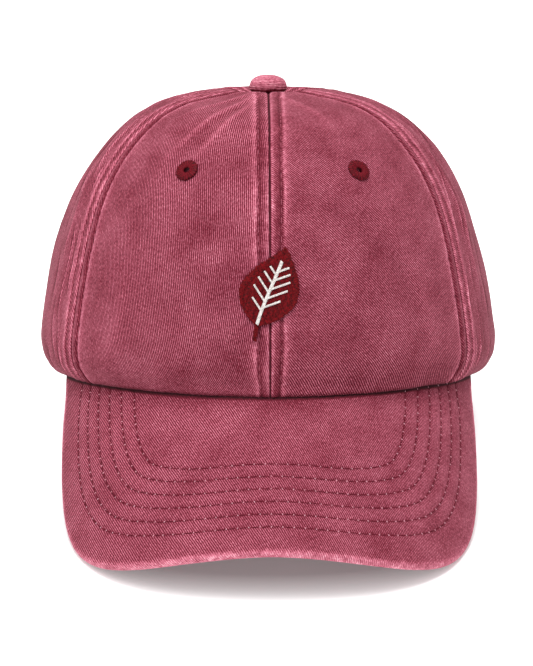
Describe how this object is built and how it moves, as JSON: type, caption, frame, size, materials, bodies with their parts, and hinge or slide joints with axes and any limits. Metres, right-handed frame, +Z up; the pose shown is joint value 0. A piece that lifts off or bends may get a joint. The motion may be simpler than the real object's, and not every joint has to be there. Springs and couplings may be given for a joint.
{
  "type": "cap",
  "caption": "Soft washed cotton cap with panelled crown, topped by a covered button, with sewn air holes, a curved stitched peak and a strap with a slide at the back opening.",
  "frame": {"origin": "centre of the bottom of the bounding box, on the surface the cap rests on", "axes": "+Z up from the surface, the peak points along -Y, +X to the right of someone who looks at the front"},
  "size_m": [0.1794, 0.2612, 0.138],
  "materials": {
    "washed_twill": "washed pigment-dyed cotton twill, matt",
    "dark_thread": "sewing thread, slight sheen",
    "band_cotton": "plain cotton band, matt",
    "aged_brass": "brushed, dulled"
  },
  "bodies": {
    "root": {"crown_front_left": "washed_twill", "crown_front_right": "washed_twill", "crown_side_left": "washed_twill", "crown_side_right": "washed_twill", "crown_back_left": "washed_twill", "crown_back_right": "washed_twill", "button": "washed_twill", "peak": "washed_twill", "strap": "washed_twill", "strap_tab": "washed_twill", "eyelet_front_left": "dark_thread", "eyelet_front_right": "dark_thread", "eyelet_side_left": "dark_thread", "eyelet_side_right": "dark_thread", "eyelet_back_left": "dark_thread", "eyelet_back_right": "dark_thread", "sweatband": "band_cotton", "clasp": "aged_brass"}
  },
  "joints": []
}
